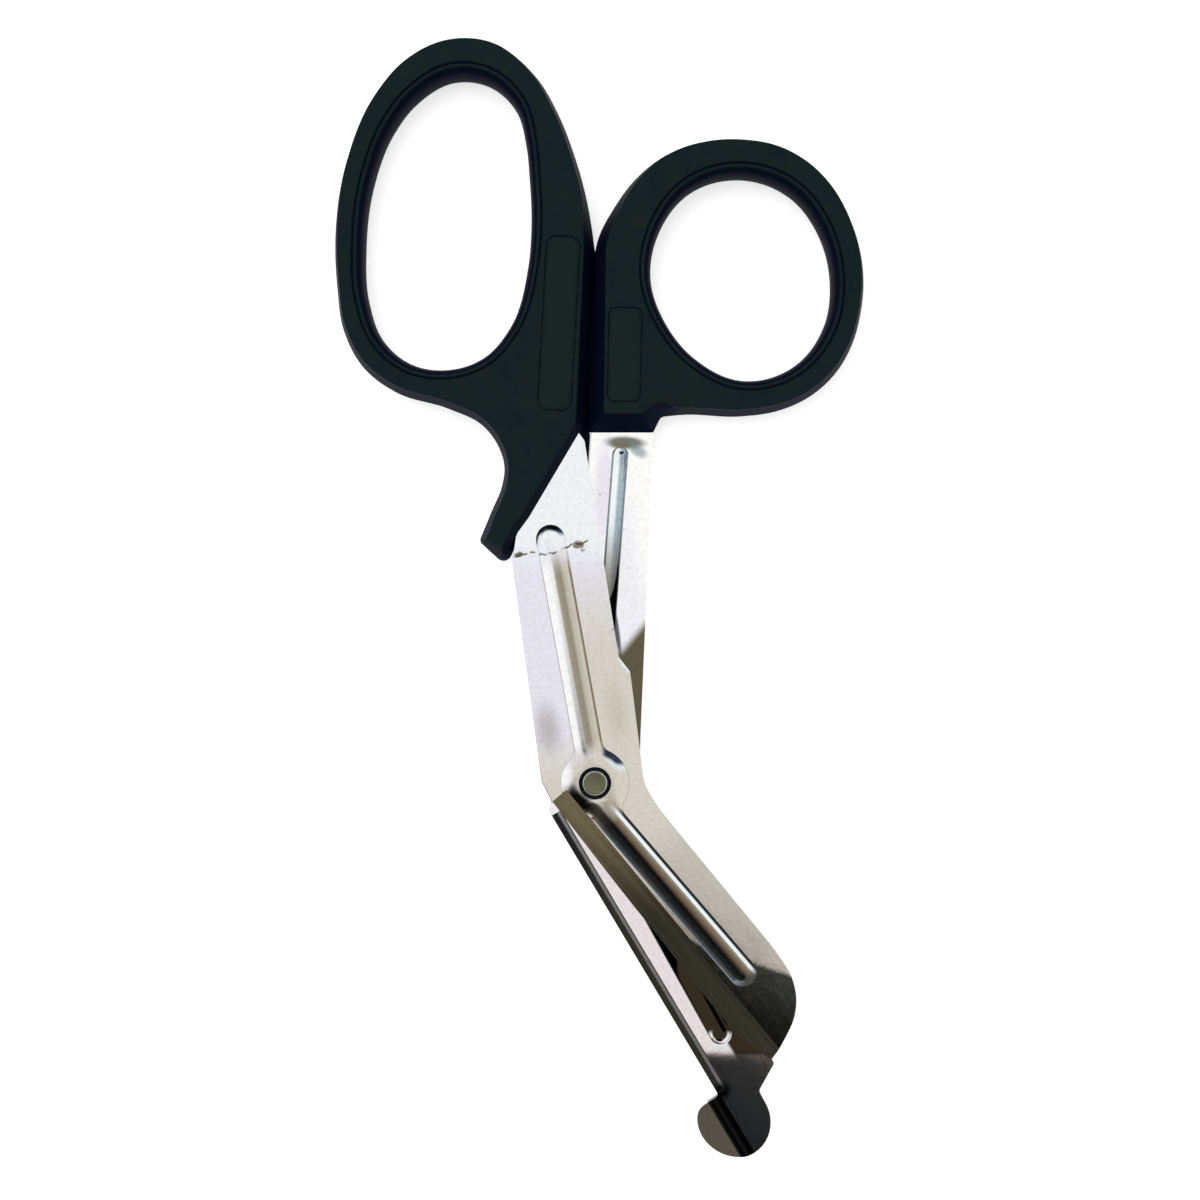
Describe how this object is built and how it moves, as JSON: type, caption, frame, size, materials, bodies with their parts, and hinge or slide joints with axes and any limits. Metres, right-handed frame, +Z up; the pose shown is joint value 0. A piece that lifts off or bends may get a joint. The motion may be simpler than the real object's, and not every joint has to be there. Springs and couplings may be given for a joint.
{
  "type": "bandage scissors",
  "caption": "Angled bandage scissors with ribbed steel blades, a bent probe foot and black moulded finger loops, lying closed.",
  "frame": {"origin": "on the pivot axis, in the plane that the rivet's flat head and the handles' undersides lie in", "axes": "+Z up along the pivot axis, out of the face seen in the picture; +Y from the pivot towards the handles; +X towards the smaller finger loop and the blade tips"},
  "size_m": [0.0899, 0.1902, 0.009],
  "materials": {
    "satin_steel": "satin stamped stainless sheet with fine grain along the blades",
    "rivet_steel": "turned and headed stainless pin, smooth",
    "black_plastic": "blue-black moulded plastic, finely textured"
  },
  "bodies": {
    "rear_half": {"rear_blade": "satin_steel", "small_handle": "black_plastic", "pivot_rivet": "rivet_steel"},
    "front_half": {"front_blade": "satin_steel", "large_handle": "black_plastic"}
  },
  "joints": [
    {"name": "pivot", "type": "hinge", "parent": "rear_half", "child": "front_half", "pos_m": [0, 0, 0], "axis": [0, 0, 1], "range_deg": [0, 172]}
  ]
}
